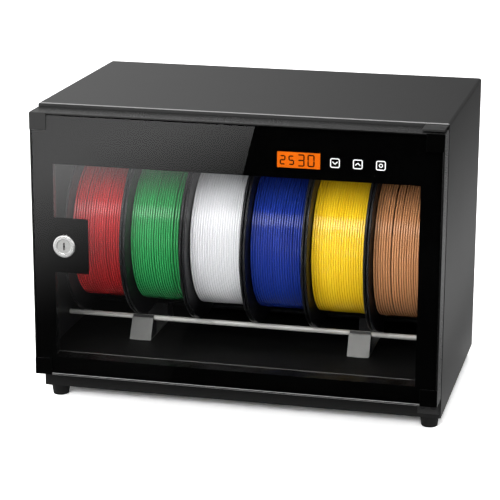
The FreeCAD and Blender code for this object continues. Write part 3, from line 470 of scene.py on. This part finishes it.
# The lower bar's rounded edges get the painted highlight; the faces of the upper bar go back to the frame
# finish.
rails = softened("door_rails", frame_black, frame_edge, edge_finish=painted_highlight_edge)
rails_low, rails_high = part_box("door_rails")
for face in rails.data.polygons:
    if face.center.z > (rails_low.z + rails_high.z) / 2:
        face.material_index = 0
caps = softened("corner_caps", frame_black, cap_edge)
caps.data.materials.append(cap_plastic)
for face in caps.data.polygons:
    if face.normal.y < faces_front:
        face.material_index = 1
seal_rubber = finish("seal_rubber", dark=(0.010, 0.010, 0.011), light=(0.018, 0.018, 0.019),
                     rough=(0.60, 0.80), grain=700.0, bump=0.2)
softened("door_seal", seal_rubber, seal_edge)


# Door glass: one clear toughened pane with polished edges and a hole for the lock.
# Lamps shine through it, so that the spools behind are lit as the eye sees them.
glass_edge = 0.0005
glass_index = 1.5
tint_scale = 9.0
cool_tint = (0.96, 0.97, 0.97, 1)
clear_tint = (1.0, 1.0, 1.0, 1)
clear_glass = bpy.data.materials.new("clear_glass")
clear_glass.use_nodes = True
glass_tree = clear_glass.node_tree
glass_shader = glass_tree.nodes["Principled BSDF"]
glass_shader.inputs["Roughness"].default_value = 0.0
glass_shader.inputs["IOR"].default_value = glass_index
glass_shader.inputs["Transmission Weight"].default_value = 1.0
glass_place = glass_tree.nodes.new("ShaderNodeTexCoord")
glass_haze = glass_tree.nodes.new("ShaderNodeTexNoise")
glass_haze.inputs["Scale"].default_value = tint_scale
glass_tint = glass_tree.nodes.new("ShaderNodeMix")
glass_tint.data_type = "RGBA"
glass_tint.inputs["A"].default_value = cool_tint
glass_tint.inputs["B"].default_value = clear_tint
glass_lamp_path = glass_tree.nodes.new("ShaderNodeLightPath")
glass_clear = glass_tree.nodes.new("ShaderNodeBsdfTransparent")
glass_mix = glass_tree.nodes.new("ShaderNodeMixShader")
glass_tree.links.new(glass_place.outputs["Object"], glass_haze.inputs["Vector"])
glass_tree.links.new(glass_haze.outputs["Fac"], glass_tint.inputs["Factor"])
glass_tree.links.new(glass_tint.outputs["Result"], glass_shader.inputs["Base Color"])
glass_tree.links.new(glass_lamp_path.outputs["Is Shadow Ray"], glass_mix.inputs[0])
glass_tree.links.new(glass_shader.outputs[0], glass_mix.inputs[1])
glass_tree.links.new(glass_clear.outputs[0], glass_mix.inputs[2])
glass_tree.links.new(glass_mix.outputs[0], glass_tree.nodes["Material Output"].inputs["Surface"])
pane = softened("door_glass", clear_glass, glass_edge)


# Black print on the back of the glass, round the window, the lock and the display.
# It is fused to the pane, so its face lies a hair inside the glass.
# The edges of the pane are sealed in the same black.
print_depth = 0.00006
print_edge = 0.00002
faces_flat = 0.95
# The same black also stands for the shade in the key hole of the lock.
border_print = finish("border_print", dark=(0.0005, 0.0005, 0.0005), light=(0.0011, 0.0011, 0.0011),
                      rough=(0.35, 0.45), grain=500.0, bump=0.02, shine=0.0)
border = softened("glass_border", border_print, print_edge, segments=1)
border_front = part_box("glass_border")[0].y
for vertex in border.data.vertices:
    if vertex.co.y < border_front + print_depth:
        vertex.co.y -= print_depth
pane.data.materials.append(border_print)
for face in pane.data.polygons:
    if abs(face.normal.y) < faces_flat:
        face.material_index = 1


# Display: an amber plastic panel behind a window in the print, lit from behind.
# Its dark seven-bar figures show plain numbers.
display_low, display_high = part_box("lcd_panel")
display_centre = (display_low + display_high) / 2
display_glow = 0.75
figure_lift = 0.00006
figure_thickness = 0.00004
figure_bar = 0.0015
figure_gap = 3 * figure_bar
bar_point = 0.45
figure_rows = {
    "left_figures": {"text": "25", "left": -0.0195, "width": 0.0048, "height": 0.0088, "low": -0.0048},
    "right_figures": {"text": "30", "left": -0.0005, "width": 0.0062, "height": 0.0118, "low": -0.0060},
}
figure_bars = {"0": "abcdef", "2": "abged", "3": "abgcd", "5": "afgcd"}
bar_places = {"a": (0.5, 1.0, 0), "b": (1.0, 0.75, 1), "c": (1.0, 0.25, 1), "d": (0.5, 0.0, 0),
              "e": (0.0, 0.25, 1), "f": (0.0, 0.75, 1), "g": (0.5, 0.5, 0)}

amber = finish("display_amber", dark=(0.34, 0.060, 0.002), light=(0.40, 0.074, 0.003), rough=(0.4, 0.5),
               grain=300.0, cloud=60.0, bump=0.02, shine=0.0)
amber_shader = amber.node_tree.nodes["Principled BSDF"]
amber_shader.inputs["Emission Strength"].default_value = display_glow
amber.node_tree.links.new(amber_shader.inputs["Base Color"].links[0].from_socket,
                          amber_shader.inputs["Emission Color"])
dress(amber, "lcd_panel")
figure_ink = finish("figure_ink", dark=(0.020, 0.005, 0.002), light=(0.035, 0.009, 0.003),
                    rough=(0.4, 0.5), grain=400.0, bump=0.02, shine=0.0)


def flat_bar(x, z, length, width, turn):
    """One flat six-sided bar that faces the front, lying across at a turn of 0."""
    bpy.ops.object.select_all(action="DESELECT")
    bpy.ops.mesh.primitive_plane_add(size=1, location=(x, 0, z), rotation=(math.pi / 2, turn, 0))
    bpy.context.object.scale = (length, width, 1)
    bpy.ops.object.transform_apply(location=True, rotation=True, scale=True)
    bpy.ops.object.mode_set(mode="EDIT")
    bpy.ops.mesh.select_all(action="SELECT")
    bpy.ops.mesh.bevel(offset=bar_point * width, segments=1, affect="VERTICES")
    bpy.ops.object.mode_set(mode="OBJECT")
    return bpy.context.object


def printed(name, shapes, front, thickness, material, body="door"):
    """Flat shapes joined into one thin printed piece whose face lies at front."""
    bpy.ops.object.select_all(action="DESELECT")
    for shape in shapes:
        shape.select_set(True)
    bpy.context.view_layer.objects.active = shapes[0]
    bpy.ops.object.join()
    piece = bpy.context.object
    piece.name = name
    bpy.ops.object.mode_set(mode="EDIT")
    bpy.ops.mesh.select_all(action="SELECT")
    bpy.ops.mesh.normals_make_consistent(inside=False)
    bpy.ops.mesh.extrude_region_move(TRANSFORM_OT_translate={"value": (0, thickness, 0)})
    bpy.ops.mesh.select_all(action="SELECT")
    bpy.ops.transform.translate(value=(0, front, 0))
    bpy.ops.mesh.normals_make_consistent(inside=False)
    bpy.ops.object.mode_set(mode="OBJECT")
    bpy.ops.object.transform_apply(location=True, rotation=True, scale=True)
    piece.data.materials.clear()
    piece.data.materials.append(material)
    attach(piece, body)


bars = []
for row in figure_rows.values():
    left = display_centre.x + row["left"]
    for figure in row["text"]:
        for letter in figure_bars[figure]:
            across, up, upright = bar_places[letter]
            length = row["height"] / 2 if upright else row["width"]
            bar_height = display_centre.z + row["low"] + up * row["height"]
            bars.append(flat_bar(left + across * row["width"], bar_height, length, figure_bar,
                                 upright * math.pi / 2))
        left += row["width"] + figure_gap
printed("display_figures", bars, display_low.y - figure_lift, figure_thickness, figure_ink)


# Touch marks: two arrows and a ring, each in a rounded square, right of the display.
# They are printed in white on the back of the glass and glow a little, lit from behind.
mark_size = 0.0102
mark_stroke = 0.0010
mark_places = (0.1098, 0.1339, 0.1582)
mark_height = 0.2960
mark_lift = 0.00005
mark_front = border_front - print_depth - mark_lift
mark_thickness = 0.00003
mark_glow = 0.35
corner_share = 0.2
corner_steps = 5
arm_offset = mark_size * 0.13
arm_length = mark_size * 0.40
arm_turn = math.radians(45)
ring_size = mark_size * 0.42
ring_stroke = mark_stroke * 0.9
ring_corners = 20
mark_white = finish("mark_white", dark=(0.66, 0.66, 0.66), light=(0.80, 0.80, 0.80), rough=(0.5, 0.6),
                    grain=800.0, bump=0.02, shine=0.0)
mark_shader = mark_white.node_tree.nodes["Principled BSDF"]
mark_shader.inputs["Emission Color"].default_value = (1, 1, 1, 1)
mark_shader.inputs["Emission Strength"].default_value = mark_glow


def outline(x, z, size, stroke, corners, round_share):
    """A flat outline: a square with rounded corners, or with many corners a ring."""
    bpy.ops.object.select_all(action="DESELECT")
    bpy.ops.mesh.primitive_circle_add(vertices=corners, radius=size / 2 / math.cos(math.pi / corners),
                                      fill_type="NGON", location=(x, 0, z),
                                      rotation=(math.pi / 2, math.pi / corners, 0))
    bpy.ops.object.transform_apply(location=True, rotation=True, scale=True)
    bpy.ops.object.mode_set(mode="EDIT")
    bpy.ops.mesh.select_all(action="SELECT")
    if round_share:
        bpy.ops.mesh.bevel(offset=size * round_share, segments=corner_steps, affect="VERTICES")
    bpy.ops.mesh.inset(thickness=stroke, depth=0)
    bpy.ops.mesh.delete(type="FACE")
    bpy.ops.object.mode_set(mode="OBJECT")
    return bpy.context.object


marks = []
for x in mark_places:
    marks.append(outline(x, mark_height, mark_size, mark_stroke, corners=4, round_share=corner_share))
for x, way in zip(mark_places[:2], (-1, 1)):
    for side in (-1, 1):
        marks.append(flat_bar(x + side * arm_offset, mark_height, arm_length, mark_stroke,
                              side * way * arm_turn))
marks.append(outline(mark_places[2], mark_height, ring_size, ring_stroke, ring_corners, round_share=0))
printed("touch_marks", marks, mark_front, mark_thickness, mark_white)


# Cam lock: a chromed bezel that passes through the glass, and a steel plug that turns in it.
# Both are turned on a lathe, so fine rings show, and the key hole is a flat black sheet on the plug,
# painted shade.
lathe_scale = 420.0
lathe_relief = 0.25
bezel_edge = 0.0006
plug_edge = 0.0002
key_width = 0.0022
key_lift = 0.00004
key_thickness = 0.00003
lock_low, lock_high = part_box("lock_body")
lock_axis = (lock_low + lock_high) / 2
lock_chrome = finish("lock_chrome", dark=(0.60, 0.60, 0.59), light=(0.86, 0.86, 0.85),
                     rough=(0.18, 0.30), grain=700.0, bump=0.02, metallic=0.8)
lock_tree = lock_chrome.node_tree
lock_mapping = lock_tree.nodes["Mapping"]
lock_mapping.inputs["Location"].default_value = -lock_axis
lock_rings = lock_tree.nodes.new("ShaderNodeTexWave")
lock_rings.wave_type = "RINGS"
lock_rings.rings_direction = "Y"
lock_rings.inputs["Scale"].default_value = lathe_scale
lock_relief = lock_tree.nodes["Bump"]
lock_relief.inputs["Strength"].default_value = lathe_relief
lock_tree.links.new(lock_mapping.outputs["Vector"], lock_rings.inputs["Vector"])
lock_tree.links.new(lock_rings.outputs["Fac"], lock_relief.inputs["Height"])
softened("lock_body", lock_chrome, bezel_edge)
plug_steel = finish("plug_steel", dark=(0.34, 0.34, 0.33), light=(0.62, 0.62, 0.61), rough=(0.26, 0.40),
                    grain=500.0, bump=0.25, metallic=0.55)
softened("lock_plug", plug_steel, plug_edge)
key_low, key_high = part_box("lock_plug")
# The key hole is a thin black sheet on the plug's face: painted shade in place of a recess.
painted_key_hole_shade = flat_bar((key_low.x + key_high.x) / 2, (key_low.z + key_high.z) / 2, key_width, key_width, 0)
printed("painted_key_hole_shade", [painted_key_hole_shade], key_low.y - key_lift, key_thickness, border_print,
        nodes["lock_plug"]["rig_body"])


# Spools: two thin flanges on a hub, moulded from glossy black plastic.
# They lie loose on the rods, and their rounded rims are glossy and painted a lighter grey as a highlight.
spool_count = 6
rim_edge = 0.0007
spool_black = finish("spool_black", dark=(0.006, 0.006, 0.007), light=(0.012, 0.012, 0.013),
                     rough=(0.24, 0.34), grain=500.0, bump=0.03, shine=0.25)
# The rims are painted a lighter grey as a highlight, with a high gloss.
rim_painted_highlight = finish("rim_painted_highlight", dark=(0.15, 0.15, 0.155), light=(0.25, 0.25, 0.255), rough=(0.10, 0.18),
                   grain=500.0, bump=0.02, shine=1.0)
for number in range(1, spool_count + 1):
    softened("spool_%d" % number, spool_black, rim_edge, edge_finish=rim_painted_highlight)


# Filament: a glossy plastic strand wound in a close outer layer, over a layer of the other hand below.
# The turns lie a little unevenly, so that the lower layer, a darker copy of the filament colour painted as
# shade, shows as dark lines between some of them.
strand_pitch = 0.0027
strand_sides = 8
turn_steps = 96
gap_evenness = 1.6
turn_sink = 0.00025
end_gap = 0.0001
layer_step = 0.0023
# The lower share darkens each colour for the layer below: painted shade.
filaments = {
    "red": {"dark": (0.38, 0.011, 0.014), "light": (0.58, 0.026, 0.028),
            "lower": 0.35, "scatter": 0.0, "width": 0.0025, "round": 1.0},
    "green": {"dark": (0.012, 0.19, 0.045), "light": (0.030, 0.31, 0.090),
              "lower": 0.40, "scatter": 0.0, "width": 0.0025, "round": 1.0},
    "white": {"dark": (0.66, 0.66, 0.70), "light": (0.80, 0.80, 0.83),
              "lower": 0.90, "scatter": 0.9, "width": 0.00268, "round": 0.4},
    "blue": {"dark": (0.006, 0.018, 0.18), "light": (0.016, 0.045, 0.32),
             "lower": 0.35, "scatter": 0.0, "width": 0.0025, "round": 1.0},
    "yellow": {"dark": (0.82, 0.43, 0.006), "light": (0.98, 0.61, 0.022),
               "lower": 0.65, "scatter": 0.6, "width": 0.00268, "round": 0.4},
    "copper": {"dark": (0.40, 0.17, 0.070), "light": (0.62, 0.30, 0.135),
               "lower": 0.10, "scatter": 0.0, "width": 0.0024, "round": 1.0},
}
scatter_depth = 0.003
strand_grain = 420.0
strand_cloud = 90.0
along_strand = (1, 0.05, 0.05)


def wound_layer(name, node, radius, length, strand_width, roundness, hand, draw, material, body):
    """One layer of turns from end to end, which stands for a node.

    The turns are uneven in their gaps and in how deep they lie.
    """
    low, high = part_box(node)
    room = length - strand_width - 2 * end_gap
    turns = int(room / strand_pitch)
    pitch = room / turns
    bpy.ops.object.select_all(action="DESELECT")
    bpy.ops.mesh.primitive_circle_add(vertices=strand_sides, radius=strand_width / 2,
                                      rotation=(math.pi / 2, 0, 0))
    strand = bpy.context.object
    strand.name = name
    bpy.ops.object.transform_apply(location=True, rotation=True, scale=True)
    bpy.ops.object.mode_set(mode="EDIT")
    bpy.ops.mesh.select_all(action="SELECT")
    bpy.ops.transform.translate(value=(-room / 2, 0, radius - strand_width / 2))
    bpy.ops.object.mode_set(mode="OBJECT")
    helix = strand.modifiers.new("turns", "SCREW")
    helix.axis = "X"
    helix.steps = helix.render_steps = turn_steps
    helix.iterations = turns
    helix.screw_offset = pitch
    bpy.ops.object.modifier_apply(modifier="turns")

    gaps = draw.gamma(gap_evenness, 1.0, turns)
    gaps *= (room - turns * strand_width) / gaps.sum()
    places = np.concatenate(([0], np.cumsum(gaps + strand_width), [room]))
    sideways = places - np.minimum(np.arange(turns + 2), turns) * pitch
    inward = draw.uniform(0, turn_sink, turns + 2)
    for vertex in strand.data.vertices:
        around = math.atan2(-vertex.co.y, vertex.co.z) / (2 * math.pi) % 1
        along = (vertex.co.x + room / 2) / pitch
        turn = min(max(round(along - around), 0), turns)
        shift = sideways[turn] * (1 - around) + sideways[turn + 1] * around
        sink = inward[turn] * (1 - around) + inward[turn + 1] * around
        reach = math.hypot(vertex.co.y, vertex.co.z)
        vertex.co.x += shift
        vertex.co.yz = vertex.co.yz * (radius - (radius - reach) * roundness - sink) / reach
        vertex.co.x *= hand

    bpy.ops.object.mode_set(mode="EDIT")
    bpy.ops.mesh.select_all(action="DESELECT")
    bpy.ops.mesh.select_non_manifold()
    bpy.ops.mesh.edge_face_add()
    bpy.ops.mesh.select_all(action="SELECT")
    bpy.ops.mesh.normals_make_consistent(inside=False)
    bpy.ops.object.mode_set(mode="OBJECT")
    strand.location = (low + high) / 2
    bpy.ops.object.transform_apply(location=True, rotation=True, scale=True)
    bpy.ops.object.shade_smooth()
    strand.data.materials.clear()
    strand.data.materials.append(material)
    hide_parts(node)
    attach(strand, body)


for number, (colour_name, filament) in enumerate(filaments.items(), start=1):
    gloss = finish("filament_" + colour_name, dark=filament["dark"], light=filament["light"],
                   rough=(0.13, 0.20), grain=strand_grain, cloud=strand_cloud, bump=0.02, shine=1.0,
                   stretch=along_strand)
    # The lower layer's finish is each filament colour darkened by its lower share: painted shade.
    shade = finish("painted_shade_turns_" + colour_name,
                   dark=[filament["lower"] * level for level in filament["dark"]],
                   light=[filament["lower"] * level for level in filament["light"]], rough=(0.5, 0.6),
                   grain=strand_grain, cloud=strand_cloud, bump=0.02, shine=0.1, stretch=along_strand)
    gloss_shader = gloss.node_tree.nodes["Principled BSDF"]
    gloss_shader.inputs["Subsurface Weight"].default_value = filament["scatter"]
    gloss_shader.inputs["Subsurface Radius"].default_value = (1, 1, 1)
    gloss_shader.inputs["Subsurface Scale"].default_value = scatter_depth
    body = "spool_%d" % number
    outer_node = "filament_winding_%d" % number
    outer_low, outer_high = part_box(outer_node)
    wound_radius = (outer_high.z - outer_low.z) / 2
    wound_length = outer_high.x - outer_low.x
    draw = np.random.RandomState(number)
    wound_layer("winding_" + colour_name, outer_node, wound_radius, wound_length, filament["width"],
                filament["round"], 1, draw, gloss, body)
    lower_radius = wound_radius - layer_step * filament["round"]
    wound_layer("lower_winding_" + colour_name, "filament_core_%d" % number, lower_radius, wound_length,
                filament["width"], filament["round"], -1, draw, shade, body)
